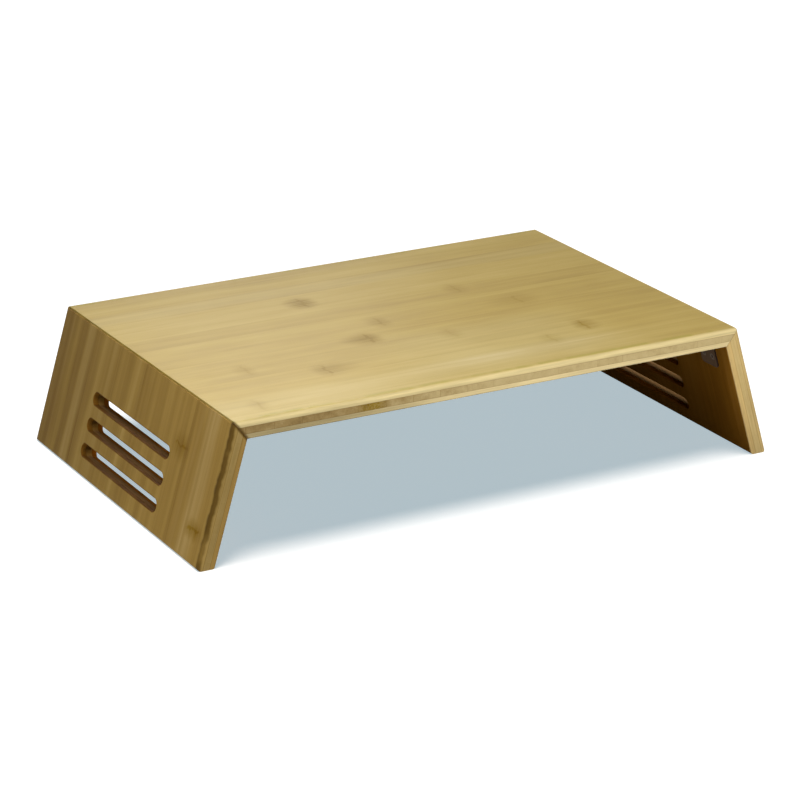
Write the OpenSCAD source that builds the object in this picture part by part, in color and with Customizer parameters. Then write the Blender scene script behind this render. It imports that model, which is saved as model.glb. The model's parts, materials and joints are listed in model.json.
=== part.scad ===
// Folding monitor riser: a bamboo top on two splayed legs that fold flat under it.
// The origin is on the desk below the middle of the top. +Z is up, and the open front looks along -Y.

/* [Overall] */
// Width of the top between its outer arrises
top_w = 400; // [320:1:600]
// Depth from the front edge to the back edge
depth = 280; // [230:1:360]
// Height of the top face above the desk
height = 100; // [85:1:150]
// Lean of each leg out of plumb, in degrees
splay = 16.6; // [6:0.1:24]

/* [Board] */
// Thickness of the layer on each face of the board
face_ply = 3.9; // [3:0.1:5]
// Thickness of the cross-grain layer between them
core_ply = 4.9; // [3:0.1:8]
// Rounding of the front and back arrises on the outside
arris_r = 3.4; // [1:0.1:3.8]
// Rounding of the front and back arrises on the underside
under_r = 1; // [0.4:0.1:2]
// Small flat that eases the outer arrises along the mitres, measured along each face
seam_ease = 1; // [0.4:0.1:2]
// Rounding of the arrises that stand on the desk
foot_r = 2.4; // [1:0.1:3]
// Hairline left between the two faces of a closed mitre
mitre_gap = 0.2; // [0.1:0.05:0.4]

/* [Vent slots] */
// Slots in each leg
slot_count = 3; // [1:1:3]
// Length of a slot over its round ends
slot_len = 128; // [60:1:150]
// Width of a slot
slot_w = 9.5; // [8:0.5:12]
// Distance between the middles of two slots
slot_pitch = 19.2; // [16:0.2:22]
// Distance up the slope from the outer foot arris to the middle of the lowest slot
slot_low = 19.3; // [14:0.1:24]
// Small flat that eases a slot's rims, measured along the face
slot_ease = 0.3; // [0.1:0.1:1]

/* [Hinges] */
// Length of a hinge along its pin
hinge_len = 20; // [18:1:40]
// Distance from the board's front or back edge to the middle of the nearest hinge
hinge_inset = 27; // [20:1:45]
// Thickness of a leaf
leaf_t = 1.2; // [0.8:0.1:1.6]
// Distance from the pin's axis to the free edge of a leaf
leaf_reach = 21; // [18:0.5:34]
// Rounding of a leaf's free corners
leaf_corner_r = 2.5; // [1:0.5:5]
// Diameter of the hinge pin
pin_d = 2.6; // [2:0.1:4]
// Height of the dome on each end of the pin
pin_dome = 0.6; // [0.3:0.1:1]
// Running clearance around the pin
pin_play = 0.05; // [0.02:0.01:0.1]
// Length of the leg leaf's middle knuckle
mid_knuckle = 7; // [5:0.5:12]
// Clearance between two knuckles along the pin
knuckle_gap = 0.25; // [0.15:0.05:0.5]
// Clearance around a knuckle, to the other leaf
knuckle_play = 0.3; // [0.2:0.05:0.6]
// Clearance between the knuckles and the boards
barrel_gap = 0.25; // [0.15:0.05:0.6]

/* [Screws] */
// Diameter of a screw's shank
screw_d = 2.9; // [2:0.1:4]
// Diameter of a screw's countersunk head
head_d = 5.4; // [4.6:0.1:7]
// Length of a screw over its head and tip
screw_len = 9.5; // [7:0.5:12]
// Length of a screw's pointed tip
tip_len = 2.6; // [1.5:0.1:4]
// Clearance around a screw in its hole
screw_fit = 0.04; // [0.02:0.01:0.1]
// Distance from the pin's axis to the row of screws
screw_row = 12.5; // [10:0.5:15]
// Distance between the two screws of a leaf
screw_spacing = 11; // [9:0.5:12]
// Span of the cross recess in a screw's head
recess_span = 3.2; // [2:0.1:4]
// Width of each arm of the cross recess
recess_w = 0.8; // [0.5:0.1:1.2]
// Depth of the cross recess
recess_depth = 1; // [0.5:0.1:1.4]

/* [Hidden] */
$fn = 64;

// Board: the face layer lies between depths 0 and face_ply, then come the core and the inner layer
board_t = 2 * face_ply + core_ply;
face_layer = [0, face_ply];
core_layer = [face_ply, face_ply + core_ply];
inner_layer = [face_ply + core_ply, board_t];

// Mitre: its plane halves the corner between the top and a leg
fold_angle = 90 + splay;
mitre_lean = 45 - splay / 2;
mitre_back = mitre_gap / 2 / cos(mitre_lean);
slope_len = height / cos(splay);

// Slot: the straight stretch between the middles of its round ends
slot_straight = slot_len - slot_w;

// Hinge: the pin's axis lies on the mitre's plane, seat_off away from both inner faces
barrel_r = pin_d / 2 + pin_play + leaf_t;
seat_off = barrel_r + barrel_gap;
pin_x = top_w / 2 - board_t * tan(mitre_lean) - seat_off / tan(fold_angle / 2);
pin_z = height - board_t - seat_off;
hinge_y = depth / 2 - hinge_inset;
FRONT = -1;
BACK = 1;

// Screw head: a right-angled countersink
head_h = (head_d - screw_d) / 2;

// How far a cut runs past the surface that it opens
overcut = 1;

BAMBOO = [0.80, 0.68, 0.44];
BAMBOO_LEG = [0.70, 0.57, 0.33];
BAMBOO_CORE = [0.58, 0.44, 0.24];
STEEL = [0.30, 0.29, 0.29];
SCREW_STEEL = [0.42, 0.41, 0.41];

// Shared shapes

// Cuts the corner at p off a flat outline, round, between the edges that leave it at angles a and b
module corner_off(p, a, b, r) {
    half = (b - a) / 2;
    inward = [cos(a + half), sin(a + half)];
    tangent = r / tan(half);
    centre = p + r / sin(half) * inward;
    difference() {
        polygon([
            p - overcut * inward,
            p + tangent * [cos(a), sin(a)],
            centre,
            p + tangent * [cos(b), sin(b)],
        ]);
        translate(centre) circle(r);
    }
}

// Section of a board across its front and back edges: u is the depth direction, v runs out of the face
module edge_section() {
    difference() {
        translate([-depth / 2, -board_t]) square([depth, board_t]);
        for (side = [0, 1]) mirror([side, 0]) {
            corner_off([depth / 2, 0], 180, 270, arris_r);
            corner_off([depth / 2, -board_t], 90, 180, under_r);
        }
    }
}

// Stands a flat outline up: its u runs along X, its v along Z, and it is extruded along Y
module upright(length) {
    rotate([90, 0, 0]) linear_extrude(length, center = true) children();
}

// One layer of a board, cut out of it between two depths below its face
module layer(span, length) {
    intersection() {
        children();
        translate([-length, -depth, -span[1]]) cube([2 * length, 2 * depth, span[1] - span[0]]);
    }
}

// Top board, with its face at z = 0

module top_outline() {
    face_half = top_w / 2 - mitre_back;
    inner_half = face_half - board_t * tan(mitre_lean);
    right_end = [
        [inner_half, -board_t],
        [face_half - seam_ease * sin(mitre_lean), -seam_ease * cos(mitre_lean)],
        [face_half - seam_ease, 0],
    ];
    left_end = [for (i = [len(right_end) - 1 : -1 : 0]) [-right_end[i].x, right_end[i].y]];
    polygon(concat(right_end, left_end));
}

module top_board() {
    difference() {
        intersection() {
            upright(depth + 2 * overcut) top_outline();
            rotate([90, 0, 90]) linear_extrude(top_w + 2 * overcut, center = true) edge_section();
        }
        for (side = [0, 1]) mirror([side, 0, 0])
            translate([0, 0, -height]) at_hinges([FRONT, BACK]) leaf_screws(screw_fit);
    }
}

module top_ply(span) {
    translate([0, 0, height]) layer(span, top_w) top_board();
}

// Leg board of the right side, laid flat with its face at z = 0: its mitred arris is at x = 0, and x runs
// down the slope

module leg_outline() {
    foot_rise = board_t * tan(splay);
    difference() {
        polygon([
            [mitre_back + seam_ease, 0],
            [mitre_back + seam_ease * sin(mitre_lean), -seam_ease * cos(mitre_lean)],
            [mitre_back + board_t * tan(mitre_lean), -board_t],
            [slope_len - foot_rise, -board_t],
            [slope_len, 0],
        ]);
        corner_off([slope_len, 0], 180, 270 - splay, foot_r);
        corner_off([slope_len - foot_rise, -board_t], 90 - splay, 180, foot_r);
    }
}

module slot() {
    translate([0, 0, -board_t - overcut]) linear_extrude(board_t + 2 * overcut) {
        square([slot_w, slot_straight], center = true);
        for (end = [-1, 1]) translate([0, end * slot_straight / 2]) circle(slot_w / 2);
    }
    slot_rim();
    translate([0, 0, -board_t]) mirror([0, 0, 1]) slot_rim();
}

// The flat that eases a slot's rim in a face at z = 0, with the board below it
module slot_rim() {
    wide = slot_w / 2 + slot_ease + overcut;
    flare = slot_ease + overcut;
    upright(slot_straight) polygon([
        [-slot_w / 2, -slot_ease],
        [slot_w / 2, -slot_ease],
        [wide, overcut],
        [-wide, overcut],
    ]);
    for (end = [0, 1]) mirror([0, end, 0]) translate([0, slot_straight / 2, -slot_ease]) intersection() {
        cylinder(h = flare, r1 = slot_w / 2, r2 = wide);
        translate([-wide, 0, 0]) cube([2 * wide, wide, flare]);
    }
}

module leg_board() {
    difference() {
        intersection() {
            upright(depth + 2 * overcut) leg_outline();
            rotate([90, 0, 90]) linear_extrude(slope_len + overcut) edge_section();
        }
        for (i = [0 : slot_count - 1]) translate([slope_len - slot_low - i * slot_pitch, 0, 0]) slot();
        from_leg() at_hinges([FRONT, BACK]) on_leg() leaf_screws(screw_fit);
    }
}

// Puts a leg board that lies flat in its place under the right end of the top, and back again
module to_leg() {
    translate([top_w / 2, 0, height]) rotate([0, 90 - splay, 0]) children();
}

module from_leg() {
    rotate([0, splay - 90, 0]) translate([-top_w / 2, 0, -height]) children();
}

module leg_ply(span) {
    to_leg() layer(span, slope_len) leg_board();
}

// Hinges of the right side, drawn around the pin's axis with the leaf on the underside of the top

module at_hinges(ends) {
    for (end = ends) translate([pin_x, end * hinge_y, pin_z]) children();
}

// Turns a leaf from the underside of the top to the inner face of the leg
module on_leg() {
    rotate([0, -fold_angle, 0]) mirror([0, 0, 1]) children();
}

// A cylinder along the pin, between two places on it
module along_pin(r, from, to) {
    translate([0, to, 0]) rotate([90, 0, 0]) cylinder(r = r, h = to - from);
}

module leaf_plate() {
    straight = hinge_len - 2 * leaf_corner_r;
    translate([0, 0, seat_off - leaf_t]) linear_extrude(leaf_t) {
        translate([leaf_corner_r - leaf_reach, -hinge_len / 2])
            square([leaf_reach - leaf_corner_r, hinge_len]);
        translate([-leaf_reach, -straight / 2]) square([leaf_reach, straight]);
        for (end = [-1, 1])
            translate([leaf_corner_r - leaf_reach, end * straight / 2]) circle(leaf_corner_r);
    }
}

// A leaf with its own knuckles, cut clear of the other leaf's knuckles
module leaf(own, other) {
    difference() {
        union() {
            difference() {
                leaf_plate();
                for (span = other)
                    along_pin(barrel_r + knuckle_play, span[0] - knuckle_gap, span[1] + knuckle_gap);
            }
            for (span = own) along_pin(barrel_r, span[0], span[1]);
        }
        along_pin(pin_d / 2 + pin_play, -hinge_len / 2 - overcut, hinge_len / 2 + overcut);
        leaf_screws(screw_fit);
    }
}

middle_spans = [[-mid_knuckle / 2, mid_knuckle / 2]];
outer_spans = [
    [-hinge_len / 2, -mid_knuckle / 2 - knuckle_gap],
    [mid_knuckle / 2 + knuckle_gap, hinge_len / 2],
];

module top_leaf() {
    leaf(outer_spans, middle_spans);
}

module leg_leaf() {
    on_leg() leaf(middle_spans, outer_spans);
}

// The pin, a little proud of the knuckles, with a dome cut on each end
module pin() {
    dome_r = (pow(pin_d / 2, 2) + pow(pin_dome, 2)) / (2 * pin_dome);
    blank = hinge_len / 2 + pin_dome + overcut;
    difference() {
        along_pin(pin_d / 2, -blank, blank);
        for (end = [0, 1]) mirror([0, end, 0]) difference() {
            along_pin(pin_d, (hinge_len - pin_dome) / 2, blank + overcut);
            translate([0, hinge_len / 2 + pin_dome - dome_r, 0]) sphere(dome_r);
        }
    }
}

// A wood screw, its head at z = 0 and its tip up; extra widens it all round into the hole that it sits in
module screw_shape(extra) {
    head_top = extra > 0 ? -overcut : 0;
    rotate_extrude() polygon([
        [0, head_top],
        [head_d / 2 + extra, head_top],
        [head_d / 2 + extra, 0],
        [screw_d / 2 + extra, head_h],
        [screw_d / 2 + extra, screw_len - tip_len],
        [0, screw_len + extra],
    ]);
}

module screw() {
    difference() {
        screw_shape(0);
        for (turn = [0, 90]) rotate(turn)
            translate([0, 0, recess_depth / 2 - overcut / 2])
                cube([recess_span, recess_w, recess_depth + overcut], center = true);
    }
}

module at_screws() {
    for (end = [-1, 1]) translate([-screw_row, end * screw_spacing / 2, seat_off - leaf_t]) children();
}

module leaf_screws(extra) {
    at_screws() screw_shape(extra);
}

module left_side() {
    mirror([1, 0, 0]) children();
}

// Sub-parts

module top_face_ply() { color(BAMBOO) top_ply(face_layer); }
module top_core_ply() { color(BAMBOO_CORE) top_ply(core_layer); }
module top_under_ply() { color(BAMBOO) top_ply(inner_layer); }
module right_leg_face_ply() { color(BAMBOO_LEG) leg_ply(face_layer); }
module right_leg_core_ply() { color(BAMBOO_CORE) leg_ply(core_layer); }
module right_leg_inner_ply() { color(BAMBOO_LEG) leg_ply(inner_layer); }
module left_leg_face_ply() { left_side() right_leg_face_ply(); }
module left_leg_core_ply() { left_side() right_leg_core_ply(); }
module left_leg_inner_ply() { left_side() right_leg_inner_ply(); }

module right_front_top_leaf() { color(STEEL) at_hinges([FRONT]) top_leaf(); }
module right_front_leg_leaf() { color(STEEL) at_hinges([FRONT]) leg_leaf(); }
module right_front_pin() { color(STEEL) at_hinges([FRONT]) pin(); }
module right_back_top_leaf() { color(STEEL) at_hinges([BACK]) top_leaf(); }
module right_back_leg_leaf() { color(STEEL) at_hinges([BACK]) leg_leaf(); }
module right_back_pin() { color(STEEL) at_hinges([BACK]) pin(); }
module left_front_top_leaf() { left_side() right_front_top_leaf(); }
module left_front_leg_leaf() { left_side() right_front_leg_leaf(); }
module left_front_pin() { left_side() right_front_pin(); }
module left_back_top_leaf() { left_side() right_back_top_leaf(); }
module left_back_leg_leaf() { left_side() right_back_leg_leaf(); }
module left_back_pin() { left_side() right_back_pin(); }

module right_top_screws() { color(SCREW_STEEL) at_hinges([FRONT, BACK]) at_screws() screw(); }
module right_leg_screws() { color(SCREW_STEEL) at_hinges([FRONT, BACK]) on_leg() at_screws() screw(); }
module left_top_screws() { left_side() right_top_screws(); }
module left_leg_screws() { left_side() right_leg_screws(); }

top_face_ply();
top_core_ply();
top_under_ply();
left_leg_face_ply();
left_leg_core_ply();
left_leg_inner_ply();
right_leg_face_ply();
right_leg_core_ply();
right_leg_inner_ply();
left_front_top_leaf();
left_front_leg_leaf();
left_front_pin();
left_back_top_leaf();
left_back_leg_leaf();
left_back_pin();
right_front_top_leaf();
right_front_leg_leaf();
right_front_pin();
right_back_top_leaf();
right_back_leg_leaf();
right_back_pin();
left_top_screws();
left_leg_screws();
right_top_screws();
right_leg_screws();
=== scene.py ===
"""Looks of a folding bamboo monitor riser: three-ply bamboo boards, dark steel hinges and wood screws."""

import json
import logging
import math
from abc import ABC, abstractmethod
from dataclasses import dataclass
from enum import Enum
from functools import reduce
from typing import Sequence, TypeVar, Union

import bpy
from mathutils import Euler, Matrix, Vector


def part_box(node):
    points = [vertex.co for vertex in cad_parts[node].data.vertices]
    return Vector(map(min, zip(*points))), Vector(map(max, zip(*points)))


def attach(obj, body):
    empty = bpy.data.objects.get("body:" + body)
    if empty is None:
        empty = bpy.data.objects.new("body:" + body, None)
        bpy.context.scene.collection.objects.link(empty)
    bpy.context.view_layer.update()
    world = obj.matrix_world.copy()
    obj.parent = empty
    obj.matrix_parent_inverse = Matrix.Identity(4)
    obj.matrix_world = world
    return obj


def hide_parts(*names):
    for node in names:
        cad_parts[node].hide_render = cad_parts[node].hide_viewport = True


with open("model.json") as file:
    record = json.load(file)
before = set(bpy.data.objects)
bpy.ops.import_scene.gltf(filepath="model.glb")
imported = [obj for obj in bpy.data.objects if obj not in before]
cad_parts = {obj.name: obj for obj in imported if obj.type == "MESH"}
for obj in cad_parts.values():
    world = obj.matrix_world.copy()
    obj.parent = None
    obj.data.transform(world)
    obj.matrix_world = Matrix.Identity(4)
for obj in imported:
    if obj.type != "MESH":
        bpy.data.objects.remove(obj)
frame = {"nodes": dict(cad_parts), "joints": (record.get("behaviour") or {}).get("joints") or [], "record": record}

LOG = logging.getLogger("monitor_riser")
MM = 0.001

Colour = tuple[float, float, float]
Triple = tuple[float, float, float]
Span = tuple[float, float]
Stops = Sequence[tuple[float, Colour]]
Socket = bpy.types.NodeSocket
Feed = Union[Socket, float]
Choice = TypeVar("Choice")

WHITE: Colour = (1.0, 1.0, 1.0)
BLACK: Colour = (0.0, 0.0, 0.0)

# The width of a bamboo strip, and where one strip starts across a board
STRIP_W = 21 * MM
STRIP_START = -3 * MM

# How strong the finer layers of a streaky pattern are, each against the one before
STREAK_ROUGHNESS = 0.55

# The top's edges grow darker along the width, from the second of these places to the first: on the edges' tone
# this is painted shade, where the front light falls off towards the left, and in the core a darker run of strips
DRIFT_REACH: Span = (-140 * MM, 10 * MM)


class Way(Enum):
    """A way out from the riser's middle, with its direction along an axis."""

    @property
    def word(self) -> str:
        """The way's name as the nodes spell it."""
        return self.name.lower()


class Side(Way):
    """The side of the riser that a leg, a hinge or a screw is on, with its direction along X."""

    LEFT = -1
    RIGHT = 1


class End(Way):
    """The end of the riser that a hinge or a screw is near, with its direction along Y."""

    FRONT = -1
    BACK = 1


class Ray(Enum):
    """Light paths that see the white surroundings."""

    CAMERA = "Is Camera Ray"
    GLOSSY = "Is Glossy Ray"
    TRANSMISSION = "Is Transmission Ray"


def with_alpha(colour: Colour) -> tuple[float, float, float, float]:
    """The colour with the fourth value that sockets take."""
    return (*colour, 1.0)


def scaled(colour: Colour, factor: float) -> Colour:
    """The colour made darker or lighter by a factor."""
    return tuple(factor * part for part in colour)


def drawn_out(size: Span, cross: bool) -> Triple:
    """A streak's size along X, Y and Z, from its length along the fibres and its width."""
    long, wide = size
    return (wide, long, wide) if cross else (long, wide, wide)


def aimed(direction: Vector) -> Euler:
    """The turn of a lamp or a camera that looks along a direction."""
    return direction.to_track_quat("-Z", "Y").to_euler()


def reflected(vector: Vector, normal: Vector) -> Vector:
    """The vector mirrored in the plane that is square to a normal."""
    return vector - 2 * vector.dot(normal) * normal


class NodeSheet:
    """Adds nodes to one node tree and joins them up."""

    def __init__(self, tree: bpy.types.NodeTree) -> None:
        """Empties the tree of a material, a world or a geometry modifier, to start on it."""
        self.tree = tree
        self.tree.nodes.clear()

    def add(self, kind: str, **settings: object) -> bpy.types.Node:
        """Adds a node.

        Args:
            kind: The node's type name.
            **settings: Properties to set on it.

        Returns:
            The new node.
        """
        node = self.tree.nodes.new(kind)
        for name, value in settings.items():
            setattr(node, name, value)
        return node

    def feed(self, socket: Socket, value: object) -> None:
        """Links a socket to another one, or sets its own value.

        Args:
            socket: The input to feed.
            value: The output to link it to, or a plain value.
        """
        if isinstance(value, bpy.types.NodeSocket):
            self.tree.links.new(value, socket)
        else:
            socket.default_value = value

    def wired(self, kind: str, inputs: dict[str, object], **settings: object) -> bpy.types.Node:
        """Adds a node and feeds its inputs by name.

        Args:
            kind: The node's type name.
            inputs: What goes into each named input.
            **settings: Properties to set on the node.

        Returns:
            The new node.
        """
        node = self.add(kind, **settings)
        for name, value in inputs.items():
            self.feed(node.inputs[name], value)
        return node

    def math(self, operation: str, a: Feed, b: Feed = 0.0, c: Feed = 0.0) -> Socket:
        """Adds one step of arithmetic.

        Args:
            operation: The step's name.
            a: The first number.
            b: The second number, where the step takes two.
            c: The third number, where the step takes three.

        Returns:
            The result.
        """
        node = self.add("ShaderNodeMath", operation=operation)
        for socket, value in zip(node.inputs, (a, b, c)):
            self.feed(socket, value)
        return node.outputs[0]

    def chain(self, operation: str, *values: Feed) -> Feed:
        """Several numbers, put together two at a time by one kind of step."""
        return reduce(lambda a, b: self.math(operation, a, b), values)

    def total(self, *values: Feed) -> Feed:
        """The sum of several numbers."""
        return self.chain("ADD", *values)

    def product(self, *values: Feed) -> Feed:
        """The product of several numbers."""
        return self.chain("MULTIPLY", *values)

    def least(self, *values: Feed) -> Feed:
        """The least of several numbers."""
        return self.chain("MINIMUM", *values)

    def away(self, a: Feed, b: Feed) -> Socket:
        """How far apart two numbers are."""
        return self.math("ABSOLUTE", self.math("SUBTRACT", a, b))

    def distance(self, a: Feed, b: Feed) -> Socket:
        """The length of the long side of a right-angled triangle."""
        return self.math("SQRT", self.math("MULTIPLY_ADD", a, a, self.math("MULTIPLY", b, b)))

    def sway(self, value: Feed, amount: float) -> Socket:
        """Turns a number around one half into a swing around zero, of the given amount."""
        return self.math("MULTIPLY_ADD", value, amount, -amount / 2)

    def step(self, value: Feed, low: float, high: float, start: Feed = 0.0, end: Feed = 1.0) -> Socket:
        """A smooth step from start to end while the value goes from low to high."""
        inputs = {"Value": value, "From Min": low, "From Max": high, "To Min": start, "To Max": end}
        return self.wired("ShaderNodeMapRange", inputs, interpolation_type="SMOOTHSTEP").outputs["Result"]

    def noise(self, vector: Socket, detail: float, roughness: float = 0.5, scale: float = 1.0) -> Socket:
        """A cloud pattern from 0 to 1 on a vector."""
        inputs = {"Vector": vector, "Scale": scale, "Detail": detail, "Roughness": roughness}
        return self.wired("ShaderNodeTexNoise", inputs).outputs["Fac"]

    def streaks(self, vector: Socket, size: Triple, shift: Feed, detail: float) -> Socket:
        """Adds a cloud pattern whose clouds are drawn out to a size along each axis.

        Args:
            vector: The point.
            size: The clouds' size along each axis.
            shift: A number that sets one pattern apart from another.
            detail: How many finer layers the pattern has.

        Returns:
            The pattern, from 0 to 1.
        """
        node = self.add("ShaderNodeVectorMath", operation="MULTIPLY_ADD")
        scale = tuple(1 / part for part in size)
        for socket, value in zip(node.inputs, (vector, scale, self.join(shift, shift, shift))):
            self.feed(socket, value)
        return self.noise(node.outputs[0], detail, STREAK_ROUGHNESS)

    def chance(self, value: Feed, seed: float) -> Socket:
        """A fixed random number from 0 to 1 for each value."""
        inputs = {"W": self.math("ADD", value, seed)}
        return self.wired("ShaderNodeTexWhiteNoise", inputs, noise_dimensions="1D").outputs["Value"]

    def split(self, vector: Socket) -> tuple[Socket, Socket, Socket]:
        """The three parts of a vector."""
        return tuple(self.wired("ShaderNodeSeparateXYZ", {"Vector": vector}).outputs)

    def join(self, x: Feed, y: Feed, z: Feed) -> Socket:
        """A vector of three numbers."""
        return self.wired("ShaderNodeCombineXYZ", {"X": x, "Y": y, "Z": z}).outputs[0]

    def ramp(self, value: Socket, stops: Stops) -> Socket:
        """Adds a row of colours to pick from.

        Args:
            value: The place in the row.
            stops: The colours and their places.

        Returns:
            The colour at the value's place.
        """
        node = self.add("ShaderNodeValToRGB")
        row = node.color_ramp.elements
        while len(row) < len(stops):
            row.new(0.5)
        for element, (place, colour) in zip(row, stops):
            element.position = place
            element.color = with_alpha(colour)
        self.feed(node.inputs[0], value)
        return node.outputs[0]

    def blend(self, share: Feed, a: object, b: object, mode: str = "MIX") -> Socket:
        """Adds a blend of two colours.

        Args:
            share: How far the blend goes, from 0 to 1.
            a: The colour at 0.
            b: The colour that is blended in.
            mode: The way of blending.

        Returns:
            The blended colour.
        """
        node = self.add("ShaderNodeMix", data_type="RGBA", blend_type=mode)

        # The node's sockets for colours come after those for numbers and vectors, which have the same names
        for socket, value in zip((node.inputs[0], node.inputs[6], node.inputs[7]), (share, a, b)):
            self.feed(socket, with_alpha(value) if isinstance(value, tuple) else value)
        return node.outputs[2]

    def tinted(self, share: Feed, colour: Socket, tint: object) -> Socket:
        """The colour multiplied by a tint, as far as the share goes."""
        return self.blend(share, colour, self.blend(1.0, colour, tint, "MULTIPLY"))

    def bump(self, height: Socket, strength: float, distance: float) -> Socket:
        """A bumped normal from a height pattern."""
        inputs = {"Strength": strength, "Distance": distance, "Height": height}
        return self.wired("ShaderNodeBump", inputs).outputs["Normal"]

    def surface(self, **sockets: object) -> None:
        """Ends a material in one principled surface.

        Args:
            **sockets: What goes into each input, with the input named in small letters.
        """
        shader = self.add("ShaderNodeBsdfPrincipled")
        for name, value in sockets.items():
            socket = shader.inputs[name.replace("_", " ").title().replace("Ior", "IOR")]
            self.feed(socket, with_alpha(value) if isinstance(value, tuple) else value)
        self.wired("ShaderNodeOutputMaterial", {"Surface": shader.outputs[0]})


def new_material(name: str) -> tuple[bpy.types.Material, NodeSheet]:
    """Adds a material.

    Args:
        name: The material's name.

    Returns:
        The material and the sheet of its nodes.
    """
    material = bpy.data.materials.new(name)
    material.use_nodes = True
    return material, NodeSheet(material.node_tree)


@dataclass(frozen=True)
class Pattern:
    """A fixed cloud pattern, with the clouds' size along each axis.

    The shift sets one pattern apart from another, and the detail is how many finer layers it has.
    """

    size: Triple
    shift: float
    detail: float

    def lay(self, sheet: NodeSheet, place: Socket) -> Socket:
        """The pattern at a place, from 0 to 1."""
        return sheet.streaks(place, self.size, self.shift, self.detail)


@dataclass(frozen=True)
class Riser:
    """The sizes of the whole riser that its boards, screws and finishes share."""

    depth: float
    height: float
    face_ply: float
    core_ply: float
    fold: float
    pin_out: float
    pin_up: float

    @classmethod
    def of_frame(cls) -> "Riser":
        """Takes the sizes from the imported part.

        Returns:
            The riser's sizes.
        """
        face_low, face_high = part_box("top_face_ply")
        core_low, core_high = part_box("top_core_ply")
        joint = frame["joints"][0]
        pin_x, _, pin_z = joint["pos_m"]
        return cls(
            depth=face_high.y - face_low.y,
            height=face_high.z,
            face_ply=face_high.z - face_low.z,
            core_ply=core_high.z - core_low.z,
            fold=math.radians(joint["range_deg"][1]),
            pin_out=abs(pin_x),
            pin_up=pin_z,
        )

    @property
    def splay(self) -> float:
        """The lean of the legs out of plumb."""
        return self.fold - math.pi / 2

    @property
    def slope_len(self) -> float:
        """The length of a leg's face down the slope."""
        return self.height / math.cos(self.splay)

    @property
    def mitre_lean(self) -> float:
        """The angle of the mitre to the square end of a board."""
        return math.pi / 2 - self.fold / 2

    @property
    def half_w(self) -> float:
        """Half the top's width at its face, out from the hinge pins, which lie in the mitre's plane."""
        return self.pin_out + (self.height - self.pin_up) * math.tan(self.mitre_lean)

    @property
    def glue_depths(self) -> Span:
        """How far the two glue lines of a board lie below its face."""
        return self.face_ply, self.face_ply + self.core_ply


@dataclass(frozen=True)
class BoardSpot:
    """Where a point lies on its board, as the sockets that tell it."""

    place: Socket
    x: Socket
    y: Socket
    below: Socket
    from_edge: Socket
    over_arris: Socket
    past_mitre: Socket
    in_back: Socket

    def by_half(self, sheet: NodeSheet, front: float, back: float) -> Socket:
        """A number that has one value in the front half of the board and one in the back half."""
        return sheet.math("MULTIPLY_ADD", self.in_back, back - front, front)


@dataclass(frozen=True)
class BoardFrame:
    """Where a board lies: its own axes run along the grain, across the strips and out of its face.

    The grain's axis runs on over the mitre, so that the strips of the top go on down the legs.
    """

    riser: Riser
    turn: float
    shift: Triple
    half_border: float = 1 * MM
    end_cut: Span = (0.55, 0.9)

    @classmethod
    def of_top(cls, riser: Riser) -> "BoardFrame":
        """The frame of the top, which is the riser's own."""
        return cls(riser, 0.0, (0.0, 0.0, 0.0))

    @classmethod
    def of_leg(cls, riser: Riser, side: Side) -> "BoardFrame":
        """The frame of a leg, unrolled around the outer mitred arris.

        Args:
            riser: The riser's sizes.
            side: The leg's side.

        Returns:
            The leg's frame.
        """
        lean = riser.splay
        along = riser.half_w - riser.half_w * math.sin(lean) + riser.height * math.cos(lean)
        out = riser.height - riser.half_w * math.cos(lean) - riser.height * math.sin(lean)
        return cls(riser, -side.value * (math.pi / 2 - lean), (side.value * along, 0.0, out))

    def spot(self, sheet: NodeSheet) -> BoardSpot:
        """Adds the nodes that tell where a point lies on the board.

        Args:
            sheet: The material's nodes.

        Returns:
            The point's place in the board's axes, and its distances from the board's faces and edges.
        """
        mapping = sheet.add("ShaderNodeMapping")
        mapping.inputs["Rotation"].default_value = (0.0, self.turn, 0.0)
        mapping.inputs["Location"].default_value = self.shift
        sheet.feed(mapping.inputs["Vector"], sheet.add("ShaderNodeTexCoord").outputs["Object"])
        place = mapping.outputs[0]
        x, y, out = sheet.split(place)
        below = sheet.math("SUBTRACT", self.riser.height, out)
        from_edge = sheet.math("SUBTRACT", self.riser.depth / 2, sheet.math("ABSOLUTE", y))
        from_arris = sheet.away(sheet.math("ABSOLUTE", x), self.riser.half_w)
        mitre_back = sheet.math("MULTIPLY", below, math.tan(self.riser.mitre_lean))
        return BoardSpot(
            place=place,
            x=x,
            y=y,
            below=below,
            from_edge=from_edge,
            over_arris=sheet.math("SUBTRACT", from_edge, below),
            past_mitre=sheet.math("SUBTRACT", from_arris, mitre_back),
            in_back=sheet.step(y, -self.half_border, self.half_border),
        )

    def end_grain(self, sheet: NodeSheet, cross: bool) -> Socket:
        """Adds the nodes that tell where the surface cuts across the fibres.

        Args:
            sheet: The material's nodes.
            cross: True for a layer whose fibres run from front to back.

        Returns:
            A number from 0 on long grain to 1 on end grain.
        """
        fibre = (0.0, 1.0, 0.0) if cross else (math.cos(self.turn), 0.0, math.sin(self.turn))
        dot = sheet.add("ShaderNodeVectorMath", operation="DOT_PRODUCT")
        sheet.feed(dot.inputs[0], sheet.add("ShaderNodeTexCoord").outputs["Normal"])
        sheet.feed(dot.inputs[1], fibre)
        return sheet.step(sheet.math("ABSOLUTE", dot.outputs["Value"]), *self.end_cut)


def in_strips(sheet: NodeSheet, across: Socket) -> Socket:
    """A place across a board, counted in strips."""
    return sheet.math("MULTIPLY_ADD", across, 1 / STRIP_W, -STRIP_START / STRIP_W)


class Layer(ABC):
    """A layer of colour over the plain bamboo."""

    @abstractmethod
    def paint(self, sheet: NodeSheet, spot: BoardSpot, colour: Socket) -> Socket:
        """Adds the layer's nodes.

        Args:
            sheet: The material's nodes.
            spot: Where the point lies on its board.
            colour: The colour below the layer.

        Returns:
            The colour with the layer over it.
        """


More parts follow.
